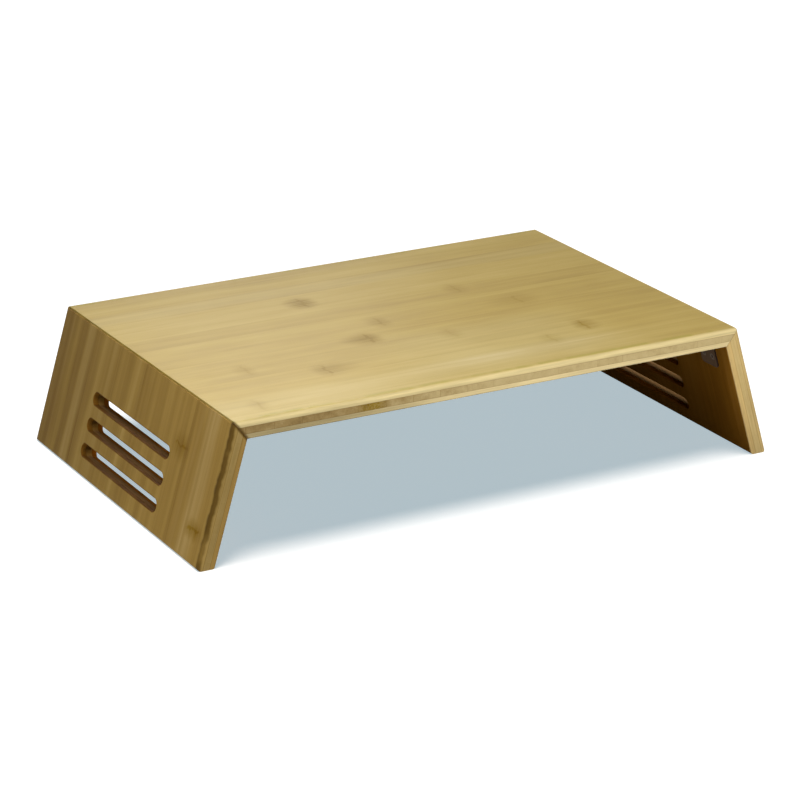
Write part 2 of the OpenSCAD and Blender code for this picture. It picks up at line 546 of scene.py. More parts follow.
@dataclass(frozen=True)
class CulmNode:
    """A dark mark where a strip held a joint of the bamboo's culm, placed along and across the boards."""

    along: float
    across: float
    strength: float
    length: float
    trail: float


# The marks that show on the outside of the riser. Beyond the ends of the top they lie on the legs.
CULM_NODES = (
    CulmNode(-47 * MM, 62 * MM, 1.0, 13 * MM, 16 * MM),
    CulmNode(-18 * MM, -3 * MM, 0.42, 10 * MM, 12 * MM),
    CulmNode(-42 * MM, -32 * MM, 0.85, 12 * MM, 24 * MM),
    CulmNode(-99 * MM, -76 * MM, 0.62, 30 * MM, 13 * MM),
    CulmNode(108 * MM, -79 * MM, 0.58, 14 * MM, 11 * MM),
    CulmNode(69 * MM, 38 * MM, 0.28, 11 * MM, 13 * MM),
    CulmNode(96 * MM, -7 * MM, 0.3, 22 * MM, 34 * MM),
    CulmNode(-148 * MM, -50 * MM, 0.3, 8 * MM, 10 * MM),
    CulmNode(72 * MM, -94 * MM, 0.24, 10 * MM, 12 * MM),
    CulmNode(15 * MM, -50 * MM, 0.2, 10 * MM, 12 * MM),
    CulmNode(-170 * MM, -116 * MM, 0.3, 8 * MM, 10 * MM),
    CulmNode(-236 * MM, -78 * MM, 0.6, 11 * MM, 12 * MM),
    CulmNode(-281 * MM, -121 * MM, 0.7, 9 * MM, 9 * MM),
    CulmNode(262 * MM, 52 * MM, 0.7, 10 * MM, 12 * MM),
    CulmNode(238 * MM, -30 * MM, 0.5, 10 * MM, 12 * MM),
)

# A dark strip of the top's core, which shows on the front edge
CORE_NODES = (CulmNode(-140 * MM, -97 * MM, 0.5, 60 * MM, 60 * MM),)


@dataclass(frozen=True)
class CulmMarks(Layer):
    """The dark marks of the culm's joints: a ring's cut edge across the strip, and a soft stain along it."""

    marks: Sequence[CulmNode]
    cross: bool = False
    shade: Colour = (0.58, 0.49, 0.05)
    half_strip: float = 15.5 * MM
    soft: Span = (0.1, 1.1)
    waver: Pattern = Pattern((14 * MM, 5 * MM, 14 * MM), 3.7, 2.0)
    fray: float = 7 * MM
    fibre: Span = (34 * MM, 1.1 * MM)
    fibre_shift: float = 2.9
    fibre_detail: float = 2.0
    palest_fibre: float = 0.15
    fibre_swing: float = 1.6
    ring: Span = (0.3 * MM, 1.7 * MM)
    ring_ends: Span = (0.4, 0.8)
    ring_share: float = 0.55

    def paint(self, sheet: NodeSheet, spot: BoardSpot, colour: Socket) -> Socket:
        """Darkens the colour inside the marks, more in some fibres than in others.

        Args:
            sheet: The material's nodes.
            spot: Where the point lies on its board.
            colour: The colour below the marks.

        Returns:
            The colour with the marks on it.
        """
        along, across = (spot.y, spot.x) if self.cross else (spot.x, spot.y)
        along = sheet.math("ADD", along, sheet.sway(self.waver.lay(sheet, spot.place), self.fray))
        size = drawn_out(self.fibre, self.cross)
        fibres = sheet.streaks(spot.place, size, self.fibre_shift, self.fibre_detail)
        dark = sheet.total(*(self.darkness(sheet, mark, along, across) for mark in self.marks))
        uneven = sheet.math("MULTIPLY_ADD", fibres, self.fibre_swing, self.palest_fibre)
        return sheet.tinted(sheet.math("MULTIPLY", dark, uneven), colour, self.shade)

    def darkness(self, sheet: NodeSheet, mark: CulmNode, along: Socket, across: Socket) -> Socket:
        """Adds the nodes of one mark.

        Args:
            sheet: The material's nodes.
            mark: The mark.
            along: The point's place along the strips, which wavers.
            across: The point's place across the strips.

        Returns:
            How dark the mark is there.
        """
        ahead = sheet.math("SUBTRACT", along, mark.along)
        reach = sheet.math(
            "MAXIMUM",
            sheet.math("DIVIDE", ahead, mark.length),
            sheet.math("DIVIDE", ahead, -mark.trail),
        )
        aside = sheet.math("MULTIPLY_ADD", across, 1 / self.half_strip, -mark.across / self.half_strip)
        stain = sheet.step(sheet.distance(reach, aside), *self.soft, mark.strength, 0.0)
        ring = sheet.product(
            self.ring_share * mark.strength,
            sheet.step(sheet.math("ABSOLUTE", ahead), *self.ring, 1.0, 0.0),
            sheet.step(sheet.math("ABSOLUTE", aside), *self.ring_ends, 1.0, 0.0),
        )
        return sheet.math("ADD", stain, ring)


@dataclass(frozen=True)
class Band:
    """A soft band along the strips that is darker or, where the amount is above zero, paler.

    A band with fades dies out along the strips, from each fade's first place to its second.
    """

    across: float
    half: float
    amount: float
    fades: Sequence[Span] = ()


# Bands that show on the outside of the boards
TOP_BANDS_AND_SHEEN = (
    Band(91 * MM, 11 * MM, 0.6),
    Band(134 * MM, 13 * MM, -0.3, ((20 * MM, 110 * MM),)),
    # Painted sheen: the next two broad pale bands at the top's front, fading out along the strips
    Band(-78 * MM, 46 * MM, 1.0, ((70 * MM, 140 * MM), (10 * MM, -80 * MM))),
    Band(-122 * MM, 24 * MM, 0.7, ((60 * MM, 190 * MM),)),
)
LEG_BANDS = (
    Band(134 * MM, 17 * MM, -0.9),
    Band(102 * MM, 6 * MM, -0.6),
    Band(90 * MM, 7 * MM, 0.5),
    Band(77 * MM, 7 * MM, -0.5),
    Band(50 * MM, 14 * MM, -0.28),
    Band(-95 * MM, 5 * MM, -0.5),
    Band(-113 * MM, 11 * MM, 0.8),
)


@dataclass(frozen=True)
class SoftBands(Layer):
    """Bands of darker and paler bamboo that run along the strips and waver a little; the top's broad pale bands at
    the front are a painted sheen.
    """

    bands: Sequence[Band]
    dark: Colour = (0.66, 0.6, 0.52)
    # Pale bands turn whiter, most in blue, so that at the top's front they read as a painted sheen
    pale: Colour = (1.1, 1.17, 1.6)
    soft: Span = (0.45, 1.25)
    waver: Pattern = Pattern((60 * MM, 45 * MM, 60 * MM), 6.6, 1.0)
    fray: float = 9 * MM

    def paint(self, sheet: NodeSheet, spot: BoardSpot, colour: Socket) -> Socket:
        """Darkens or pales the colour inside the bands.

        Args:
            sheet: The material's nodes.
            spot: Where the point lies on its board.
            colour: The colour below the bands.

        Returns:
            The colour with the bands in it.
        """
        across = sheet.math("ADD", spot.y, sheet.sway(self.waver.lay(sheet, spot.place), self.fray))
        inner, outer = self.soft
        for band in self.bands:
            away = sheet.away(across, band.across)
            share = sheet.step(away, inner * band.half, outer * band.half, abs(band.amount), 0.0)
            for fade in band.fades:
                share = sheet.math("MULTIPLY", share, sheet.step(spot.x, *fade, 1.0, 0.0))
            colour = sheet.tinted(share, colour, self.pale if band.amount > 0 else self.dark)
        return colour


@dataclass(frozen=True)
class StrewnMarks(Layer):
    """Culm marks strewn at random, about one in half a metre of each strip."""

    seed: float
    reach: float = 520 * MM
    length: float = 10 * MM
    soft: Span = (0.1, 1.0)
    strength: float = 0.8
    shade: Colour = (0.58, 0.52, 0.4)

    def paint(self, sheet: NodeSheet, spot: BoardSpot, colour: Socket) -> Socket:
        """Darkens the colour inside the marks.

        Args:
            sheet: The material's nodes.
            spot: Where the point lies on its board.
            colour: The colour below the marks.

        Returns:
            The colour with the marks on it.
        """
        counted = in_strips(sheet, spot.y)
        offset = sheet.chance(sheet.math("FLOOR", counted), self.seed)
        turn = sheet.math("FRACT", sheet.math("MULTIPLY_ADD", spot.x, 1 / self.reach, offset))
        ahead = sheet.math("MULTIPLY", sheet.math("SUBTRACT", turn, 0.5), self.reach / self.length)
        aside = sheet.math("MULTIPLY", sheet.math("SUBTRACT", sheet.math("FRACT", counted), 0.5), 2.0)
        dark = sheet.step(sheet.distance(ahead, aside), *self.soft, self.strength, 0.0)
        return sheet.tinted(dark, colour, self.shade)


@dataclass(frozen=True)
class EdgeToneAndPaintedLight(Layer):
    """The tone of the sanded front and back edges, partly painted light: the under layer's pale edge stands in for
    light bounced up from the floor.

    The drift is how much darker they grow along the width, a painted shade where the front light falls off towards
    the left, and the share how far the tone covers the board.
    """

    front: Colour
    back: Colour
    drift: float = 0.0
    share: float = 0.85
    wide: Span = (0.2 * MM, 1.5 * MM)
    streaks: Pattern = Pattern((38 * MM, 9 * MM, 1.3 * MM), 8.1, 3.0)
    streak_ends: Span = (0.25, 0.75)
    streak_swing: float = 0.2

    def paint(self, sheet: NodeSheet, spot: BoardSpot, colour: Socket) -> Socket:
        """Lays the edges' tone over the colour, with streaks along the board.

        Args:
            sheet: The material's nodes.
            spot: Where the point lies on its board.
            colour: The colour of the board's face.

        Returns:
            The colour with the edges' tone over it.
        """
        pattern = self.streaks.lay(sheet, spot.place)
        front, back = (self.streaked(sheet, pattern, tone) for tone in (self.front, self.back))
        edge = sheet.blend(spot.in_back, front, back)
        if self.drift:
            edge = sheet.blend(sheet.step(spot.x, *DRIFT_REACH, self.drift, 0.0), edge, BLACK)
        return sheet.blend(sheet.step(spot.from_edge, *self.wide, self.share, 0.0), colour, edge)

    def streaked(self, sheet: NodeSheet, pattern: Socket, tone: Colour) -> Socket:
        """The colour of one edge, whose streaks are darker and paler than its middle tone."""
        shades = (scaled(tone, 1 - self.streak_swing), scaled(tone, 1 + self.streak_swing))
        return sheet.ramp(pattern, tuple(zip(self.streak_ends, shades)))


@dataclass(frozen=True)
class ArrisStainAndShade(Layer):
    """A darkened line along the rounded front and back arrises: partly painted shade, where the rounding turns
    away from the lamps, and partly a darker tone of the rounded arris.

    The places across the arris are counted from its middle: on the face they are more than zero, and on the
    edge less.
    """

    front: float
    back: float
    colour: Colour
    face_side: Span
    edge_side: Span
    fray: float
    gaps: float
    waver: Pattern = Pattern((13 * MM, 60 * MM, 60 * MM), 5.3, 2.0)
    breaks: Pattern = Pattern((24 * MM, 60 * MM, 60 * MM), 1.9, 2.0)
    break_ends: Span = (0.4, 0.6)

    def paint(self, sheet: NodeSheet, spot: BoardSpot, colour: Socket) -> Socket:
        """Darkens the colour along the arrises, with frayed sides and, where it has gaps, with breaks.

        Args:
            sheet: The material's nodes.
            spot: Where the point lies on its board.
            colour: The colour below the line.

        Returns:
            The colour with the line on it.
        """
        across = sheet.math("ADD", spot.over_arris, sheet.sway(self.waver.lay(sheet, spot.place), self.fray))
        share = sheet.product(
            spot.by_half(sheet, self.front, self.back),
            sheet.step(across, *self.face_side, 1.0, 0.0),
            sheet.step(across, *self.edge_side),
            sheet.step(self.breaks.lay(sheet, spot.place), *self.break_ends, 1.0 - self.gaps, 1.0),
        )
        return sheet.blend(share, colour, self.colour)


@dataclass(frozen=True)
class MitreStain(Layer):
    """A dark line of glue and finish along the mitre, where it meets the front or the back edge."""

    side: Side
    front: float
    back: float
    colour: Colour = (0.10, 0.055, 0.012)
    wide: Span = (0.6 * MM, 2.6 * MM)
    along_edge: Span = (2 * MM, 7 * MM)
    border: float = 1 * MM

    def paint(self, sheet: NodeSheet, spot: BoardSpot, colour: Socket) -> Socket:
        """Darkens the colour beside the mitre.

        Args:
            sheet: The material's nodes.
            spot: Where the point lies on its board.
            colour: The colour below the line.

        Returns:
            The colour with the line on it.
        """
        share = sheet.product(
            spot.by_half(sheet, self.front, self.back),
            sheet.step(spot.past_mitre, *self.wide, 1.0, 0.0),
            sheet.step(spot.from_edge, *self.along_edge, 1.0, 0.0),
            sheet.step(sheet.math("MULTIPLY", spot.x, self.side.value), 0.0, self.border),
        )
        return sheet.blend(share, colour, self.colour)


@dataclass(frozen=True)
class ScorchedAndShadedSlots(Layer):
    """Slot walls darkened by the cutter's scorching and by painted shade inside the slots, with a trace on the
    rims.
    """

    middles: Sequence[float]
    width: float
    straight: float
    shade: Colour
    end_shade: Colour = (0.5, 0.36, 0.18)
    end_fade: float = 3 * MM
    rim: Span = (0.05 * MM, 0.9 * MM)

    def paint(self, sheet: NodeSheet, spot: BoardSpot, colour: Socket) -> Socket:
        """Darkens the colour on the slots' walls.

        Args:
            sheet: The material's nodes.
            spot: Where the point lies on its board.
            colour: The colour below the scorch.

        Returns:
            The scorched colour.
        """
        past_end = sheet.math("SUBTRACT", sheet.math("ABSOLUTE", spot.y), self.straight / 2)
        past_end = sheet.math("MAXIMUM", past_end, 0.0)
        asides = [sheet.math("SUBTRACT", spot.x, middle) for middle in self.middles]
        nearest = sheet.least(*(sheet.distance(aside, past_end) for aside in asides))
        share = sheet.step(sheet.math("SUBTRACT", nearest, self.width / 2), *self.rim, 1.0, 0.0)
        shade = sheet.blend(sheet.step(past_end, 0.0, self.end_fade), self.shade, self.end_shade)
        return sheet.tinted(share, colour, shade)


@dataclass(frozen=True)
class GlueLines(Layer):
    """The thin dark lines of glue between the layers of a board."""

    depths: Sequence[float]
    strength: float = 0.7
    shade: Colour = (0.55, 0.48, 0.38)
    wide: Span = (0.06 * MM, 0.3 * MM)

    def paint(self, sheet: NodeSheet, spot: BoardSpot, colour: Socket) -> Socket:
        """Darkens the colour where two layers meet."""
        nearest = sheet.least(*(sheet.away(spot.below, depth) for depth in self.depths))
        return sheet.tinted(sheet.step(nearest, *self.wide, self.strength, 0.0), colour, self.shade)


@dataclass(frozen=True)
class Grain:
    """The strips of a board and the fibres in them, as the sockets that tell them."""

    strip: Socket
    seam: Socket
    streak: Socket
    fibre: Socket
    pore: Socket
    cloud: Socket
    end: Socket


@dataclass(frozen=True)
class BambooFinish:
    """Satin lacquered bamboo strips glued edge to edge, with fibres, pores and layers of colour over them.

    A swing is how far a pattern moves the tone, and a tone or a rise below zero is darker or deeper.
    """

    name: str
    tones: Stops
    layers: Sequence[Layer]
    cross: bool = False
    seed: float = 0.0
    run_seed: float = 11.3
    run: float = 40.0
    seam_seed: float = 5.1
    seam_w: float = 0.35 * MM
    bold_seams: float = 0.0
    bold_every: int = 4
    bold_w: Span = (0.8 * MM, 5.5 * MM)
    bold_fray: float = 9 * MM
    drift: float = 0.0
    streak: Span = (110 * MM, 7.5 * MM)
    fibre: Span = (60 * MM, 1.2 * MM)
    pore: Span = (16 * MM, 0.38 * MM)
    pore_ends: Span = (0.58, 0.74)
    cloud_scale: float = 16.0
    fibre_detail: float = 3.0
    pore_detail: float = 1.0
    cloud_detail: float = 2.0
    strip_swing: float = 0.2
    streak_swing: float = 0.6
    fibre_swing: float = 0.18
    cloud_swing: float = 0.25
    middle_tone: float = 0.6
    pore_tone: float = -0.1
    seam_tone: float = -0.2
    end_tone: float = -0.16
    fibre_rise: float = 0.6
    pore_rise: float = -0.35
    seam_rise: float = -0.5
    relief_share: float = 0.35
    relief: float = 0.12 * MM
    gloss: float = 0.03
    satin: float = 0.46
    satin_swing: float = 0.16
    end_matt: float = 0.12

    def across(self, spot: BoardSpot) -> Socket:
        """The place across the strips."""
        return spot.x if self.cross else spot.y

    def grain(self, sheet: NodeSheet, board: BoardFrame, spot: BoardSpot) -> Grain:
        """Adds the nodes of the strips, each with its own run of fibres at three widths.

        Args:
            sheet: The material's nodes.
            board: The board's frame.
            spot: Where the point lies on its board.

        Returns:
            The patterns of the strips and fibres.
        """
        counted = in_strips(sheet, self.across(spot))
        strip = sheet.math("FLOOR", counted)
        from_middle = sheet.away(sheet.math("FRACT", counted), 0.5)
        shift = sheet.math("MULTIPLY", sheet.chance(strip, self.seed + self.run_seed), self.run)
        seam_depth = sheet.chance(sheet.math("ROUND", counted), self.seed + self.seam_seed)
        streak, fibre, pore = (
            sheet.streaks(spot.place, drawn_out(size, self.cross), shift, detail)
            for size, detail in (
                (self.streak, self.fibre_detail),
                (self.fibre, self.fibre_detail),
                (self.pore, self.pore_detail),
            )
        )
        return Grain(
            strip=strip,
            seam=sheet.step(from_middle, 0.5 - self.seam_w / STRIP_W, 0.5, 0.0, seam_depth),
            streak=streak,
            fibre=fibre,
            pore=sheet.step(pore, *self.pore_ends),
            cloud=sheet.noise(spot.place, self.cloud_detail, scale=self.cloud_scale),
            end=board.end_grain(sheet, self.cross),
        )

    def tone(self, sheet: NodeSheet, spot: BoardSpot, grain: Grain) -> Socket:
        """Adds the nodes of the plain bamboo's tone.

        Args:
            sheet: The material's nodes.
            spot: Where the point lies on its board.
            grain: The patterns of the strips and fibres.

        Returns:
            The place in the row of tones.
        """
        tone = sheet.total(
            self.middle_tone,
            sheet.sway(sheet.chance(grain.strip, self.seed), self.strip_swing),
            sheet.sway(grain.streak, self.streak_swing),
            sheet.sway(grain.fibre, self.fibre_swing),
            sheet.sway(grain.cloud, self.cloud_swing),
            sheet.math("MULTIPLY", grain.pore, self.pore_tone),
            sheet.math("MULTIPLY", grain.seam, self.seam_tone),
            sheet.math("MULTIPLY", grain.end, self.end_tone),
        )
        if self.bold_seams:
            tone = sheet.math("ADD", tone, self.bold_lines(sheet, spot, grain))
        if self.drift:
            tone = sheet.math("ADD", tone, sheet.step(spot.x, *DRIFT_REACH, -self.drift, 0.0))
        return tone

    def bold_lines(self, sheet: NodeSheet, spot: BoardSpot, grain: Grain) -> Socket:
        """Adds the nodes of broad soft dark lines with wavy sides, along one seam in a few.

        Args:
            sheet: The material's nodes.
            spot: Where the point lies on its board.
            grain: The patterns of the strips and fibres.

        Returns:
            What the lines add to the tone.
        """
        pitch = self.bold_every * STRIP_W
        wavering = sheet.math("ADD", self.across(spot), sheet.sway(grain.streak, self.bold_fray))
        turn = sheet.math("MULTIPLY_ADD", wavering, 1 / pitch, 0.5 - STRIP_START / pitch)
        away = sheet.away(sheet.math("FRACT", turn), 0.5)
        narrow, broad = self.bold_w
        return sheet.step(away, narrow / pitch, broad / pitch, -self.bold_seams, 0.0)

    def bumps(self, sheet: NodeSheet, grain: Grain) -> Socket:
        """Adds the nodes of raised fibres, open pores and sunken seams.

        Args:
            sheet: The material's nodes.
            grain: The patterns of the strips and fibres.

        Returns:
            The bumped normal.
        """
        height = sheet.total(
            sheet.math("MULTIPLY", grain.fibre, self.fibre_rise),
            sheet.math("MULTIPLY", grain.pore, self.pore_rise),
            sheet.math("MULTIPLY", grain.seam, self.seam_rise),
        )
        return sheet.bump(height, self.relief_share, self.relief)

    def make(self, board: BoardFrame) -> bpy.types.Material:
        """Builds the material for one board.

        Args:
            board: The board's frame.

        Returns:
            The material.
        """
        material, sheet = new_material(self.name)
        spot = board.spot(sheet)
        grain = self.grain(sheet, board, spot)
        colour = sheet.ramp(self.tone(sheet, spot, grain), self.tones)
        for layer in self.layers:
            colour = layer.paint(sheet, spot, colour)
        sheet.surface(
            base_color=colour,
            roughness=sheet.total(
                self.satin,
                sheet.sway(grain.fibre, self.satin_swing),
                sheet.math("MULTIPLY", grain.end, self.end_matt),
            ),
            specular_ior_level=self.gloss,
            normal=self.bumps(sheet, grain),
        )
        return material


@dataclass(frozen=True)
class SteelFinish:
    """Dark bronzed steel with a faint grain, cloudy plating and fine spangle.

    The scales are counted in patches to a metre.
    """

    name: str
    bright: Colour
    dull: Colour
    roughness: float
    edge_on: Colour = (1.0, 0.68, 0.5)
    grain_scale: Triple = (160.0, 2600.0, 2600.0)
    cloud_scale: float = 420.0
    spangle_scale: float = 1600.0
    cloud_detail: float = 3.0
    cloud_roughness: float = 0.6
    spangle_detail: float = 1.0
    middle_share: float = 0.5
    grain_swing: float = 0.5
    cloud_swing: float = 1.1
    spangle_swing: float = 0.3
    grain_matt: float = 0.16
    cloud_matt: float = 0.14
    relief_share: float = 0.25
    relief: float = 0.03 * MM

    def make(self) -> bpy.types.Material:
        """Builds the material.

        Returns:
            The material.
        """
        material, sheet = new_material(self.name)
        place = sheet.add("ShaderNodeTexCoord").outputs["Object"]
        drawn = sheet.wired("ShaderNodeMapping", {"Vector": place, "Scale": self.grain_scale}).outputs[0]
        grain = sheet.noise(drawn, self.cloud_detail, self.cloud_roughness)
        cloud = sheet.noise(place, self.cloud_detail, self.cloud_roughness, self.cloud_scale)
        spangle = sheet.noise(place, self.spangle_detail, scale=self.spangle_scale)
        share = sheet.total(
            self.middle_share,
            sheet.sway(cloud, self.cloud_swing),
            sheet.sway(grain, self.grain_swing),
            sheet.sway(spangle, self.spangle_swing),
        )
        sheet.surface(
            base_color=sheet.ramp(share, ((0.0, self.dull), (1.0, self.bright))),
            metallic=1.0,
            specular_tint=self.edge_on,
            roughness=sheet.total(
                self.roughness, sheet.sway(grain, self.grain_matt), sheet.sway(cloud, self.cloud_matt)
            ),
            normal=sheet.bump(grain, self.relief_share, self.relief),
        )
        return material


def cover(node: str, material: bpy.types.Material) -> None:
    """Gives a node its material, in its one material slot.

    Args:
        node: The node's name.
        material: The material that covers it.
    """
    piece = frame["nodes"][node]
    piece.data.materials.clear()
    piece.data.materials.append(material)
    for face in piece.data.polygons:
        face.material_index = 0
    LOG.info("%s: %s", node, material.name)


TOP_TONES: Stops = (
    (0.0, (0.25, 0.155, 0.028)),
    (0.3, (0.40, 0.268, 0.056)),
    (0.6, (0.50, 0.352, 0.084)),
    (1.0, (0.61, 0.46, 0.15)),
)
# Painted shade: the legs' tones are a darker, more orange copy of the top's bamboo, which the legs are made of
LEG_SHADED_TONES: Stops = (
    (0.0, (0.19, 0.10, 0.018)),
    (0.3, (0.315, 0.185, 0.038)),
    (0.6, (0.41, 0.253, 0.058)),
    (1.0, (0.52, 0.345, 0.10)),
)
# Painted shade: the inner layer's tones are a darker, redder copy of the legs' bamboo, for the legs' inner faces
# under the top
INNER_SHADED_TONES: Stops = (
    (0.0, (0.17, 0.066, 0.006)),
    (0.3, (0.28, 0.114, 0.010)),
    (0.6, (0.37, 0.155, 0.016)),
    (1.0, (0.47, 0.22, 0.038)),
)
CORE_TONES: Stops = (
    (0.0, (0.16, 0.095, 0.03)),
    (0.3, (0.32, 0.22, 0.085)),
    (0.6, (0.49, 0.375, 0.175)),
    (1.0, (0.60, 0.475, 0.25)),
)

PALE_EDGE: Colour = (0.615, 0.503, 0.26)
BUFF_EDGE: Colour = (0.45, 0.33, 0.138)
# The left leg's front edge is darker: partly the leg's own tone, partly painted shade where the front light falls
# off towards the left
TAN_EDGE: Colour = (0.257, 0.171, 0.052)
# Painted light: the under layer's edge is paler, as if lit by light bounced up from the floor
UNDER_EDGE_AND_BOUNCE: Colour = (0.72, 0.585, 0.315)


@dataclass
class TopBoard:
    """The top: two layers with their strips along the width, and a cross-grain core between them."""

    riser: Riser
    olive: Colour = (0.39, 0.32, 0.05)
    mitre_stain: float = 0.8

    def marks(self) -> CulmMarks:
        """The culm marks on the top's face."""
        return CulmMarks([mark for mark in CULM_NODES if abs(mark.along) < self.riser.half_w])

    def joint_lines(self) -> tuple[Layer, ...]:
        """The glue lines between the layers, and the stains beside both mitres.

        Returns:
            The layers of colour.
        """
        return (
            GlueLines(self.riser.glue_depths),
            MitreStain(Side.LEFT, self.mitre_stain, 0.0),
            MitreStain(Side.RIGHT, 0.0, self.mitre_stain),
        )

    def face(self) -> BambooFinish:
        """The finish of the outer layer, whose arrises have an olive line, partly painted shade where the sheen
        fades on the rounding.

        Returns:
            The finish.
        """
        # Olive line along the arrises: partly painted shade, where the sheen fades on the rounding
        line = ArrisStainAndShade(
            front=0.6,
            back=0.6,
            colour=self.olive,
            face_side=(4.4 * MM, 8.0 * MM),
            edge_side=(1.4 * MM, 3.6 * MM),
            fray=2.0 * MM,
            gaps=1.0,
        )
        # The edges grow darker to the left: painted shade, where the front light falls off
        edge = EdgeToneAndPaintedLight(PALE_EDGE, PALE_EDGE, drift=0.1, wide=(0.8 * MM, 4.2 * MM))
        return BambooFinish(
            "bamboo_top_face",
            TOP_TONES,
            (SoftBands(TOP_BANDS_AND_SHEEN), self.marks(), edge, line, *self.joint_lines()),
            strip_swing=0.15,
            streak_swing=0.5,
            satin=0.34,
        )

    def core(self) -> BambooFinish:
        """The finish of the core, which shows its end grain at the front and back.

        Returns:
            The finish.
        """
        return BambooFinish(
            "bamboo_top_core",
            CORE_TONES,
            (CulmMarks(CORE_NODES, cross=True), *self.joint_lines()),
            cross=True,
            seed=40.0,
            middle_tone=0.8,
            drift=0.4,
            strip_swing=0.1,
        )

    def under(self) -> BambooFinish:
        """The finish of the layer below.

        Returns:
            The finish.
        """
        # The edge's pale tone is painted light of the floor's bounce, and its drift painted shade to the left
        edge = EdgeToneAndPaintedLight(UNDER_EDGE_AND_BOUNCE, UNDER_EDGE_AND_BOUNCE, drift=0.5)
        layers = (StrewnMarks(71.7), edge, *self.joint_lines())
        return BambooFinish("bamboo_top_under", TOP_TONES, layers, seed=80.0)

    def dress(self) -> None:
        """Gives the three layers their bamboo."""
        board = BoardFrame.of_top(self.riser)
        cover("top_face_ply", self.face().make(board))
        cover("top_core_ply", self.core().make(board))
        cover("top_under_ply", self.under().make(board))


@dataclass
class FoldingLeg:
    """A splayed leg: two layers with their strips down the slope, and a cross-grain core between them.

    Both legs are cut alike and one is turned round, so the dark arris of the left leg's front edge, partly
    painted shade, is at the back of the right leg.
    """

    riser: Riser
    side: Side
    slot_count: int = 3
    slot_w: float = 9.5 * MM
    slot_len: float = 128 * MM
    slot_low: float = 19.3 * MM
    slot_pitch: float = 19.2 * MM
    # The dark colour of the arris line, which is partly painted shade, and of the mitre's stain
    stain: Colour = (0.10, 0.055, 0.01)
    stain_share: float = 0.95
    # The walls' shade in each layer, scorching with painted shade: darkest in the outer layer, palest in the inner
    # one
    face_scorch_and_shade: Colour = (0.42, 0.29, 0.2)
    core_scorch_and_shade: Colour = (0.5, 0.36, 0.3)
    inner_scorch_and_shade: Colour = (0.8, 0.68, 0.65)

    def front_and_back(self, dark: Choice, pale: Choice) -> tuple[Choice, Choice]:
        """What the front and the back edge get, of what the dark and the pale edge of a leg have."""
        return (dark, pale) if self.side is Side.LEFT else (pale, dark)

    def scorch_and_shade(self, shade: Colour) -> ScorchedAndShadedSlots:
        """The leg's slot walls, scorched and darkened with painted shade.

        Args:
            shade: The shade that the walls have in one layer.

        Returns:
            The layer of colour.
        """
        lowest = self.riser.half_w + self.riser.slope_len - self.slot_low
        middles = [self.side.value * (lowest - row * self.slot_pitch) for row in range(self.slot_count)]
        return ScorchedAndShadedSlots(middles, self.slot_w, self.slot_len - self.slot_w, shade)

    def marks(self) -> CulmMarks:
        """The culm marks on the leg's face."""
        return CulmMarks([mark for mark in CULM_NODES if self.side.value * mark.along > self.riser.half_w])

    def edge(self) -> EdgeToneAndPaintedLight:
        """The tone of the leg's front and back edges."""
        return EdgeToneAndPaintedLight(*self.front_and_back(TAN_EDGE, BUFF_EDGE))

    def arris_line_and_shade(self) -> ArrisStainAndShade:
        """The dark line along one of the leg's arrises, partly painted shade.

        Returns:
            The layer of colour.
        """
        front, back = self.front_and_back(self.stain_share, 0.0)
        return ArrisStainAndShade(
            front=front,
            back=back,
            colour=self.stain,
            face_side=(2.2 * MM, 5.2 * MM),
            edge_side=(-3.2 * MM, -0.6 * MM),
            fray=6.0 * MM,
            gaps=0.3,
        )

    def joint_lines(self) -> tuple[Layer, ...]:
        """The stain beside the mitre, and the glue lines between the layers."""
        stain = MitreStain(self.side, *self.front_and_back(self.stain_share, 0.0))
        return stain, GlueLines(self.riser.glue_depths)

    def face(self) -> BambooFinish:
        """The finish of the outer layer, with bold seams down the slope.

        Returns:
            The finish.
        """
        over = (self.edge(), self.arris_line_and_shade(), *self.joint_lines(), self.scorch_and_shade(self.face_scorch_and_shade))
        return BambooFinish(
            f"bamboo_{self.side.word}_leg_face",
            LEG_SHADED_TONES,
            (SoftBands(LEG_BANDS), self.marks(), *over),
            bold_seams=0.2,
            streak=(260 * MM, 8 * MM),
            streak_swing=1.1,
        )

    def core(self) -> BambooFinish:
        """The finish of the core, which shows its end grain at the front and back.

        Returns:
            The finish.
        """
        return BambooFinish(
            f"bamboo_{self.side.word}_leg_core",
            CORE_TONES,
            (self.edge(), *self.joint_lines(), self.scorch_and_shade(self.core_scorch_and_shade)),
            cross=True,
            seed=40.0,
            strip_swing=0.1,
            gloss=0.0,
        )

    def inner(self) -> BambooFinish:
        """The finish of the inner layer, whose tones are darker and redder: painted shade for the legs' inner
        faces.

        Returns:
            The finish.
        """
        return BambooFinish(
            f"bamboo_{self.side.word}_leg_inner",
            INNER_SHADED_TONES,
            (StrewnMarks(151.7), self.edge(), *self.joint_lines(), self.scorch_and_shade(self.inner_scorch_and_shade)),
            seed=120.0,
            gloss=0.0,
        )

    def dress(self) -> None:
        """Gives the three layers their bamboo."""
        word = self.side.word
        board = BoardFrame.of_leg(self.riser, self.side)
        cover(f"{word}_leg_face_ply", self.face().make(board))
        cover(f"{word}_leg_core_ply", self.core().make(board))
        cover(f"{word}_leg_inner_ply", self.inner().make(board))


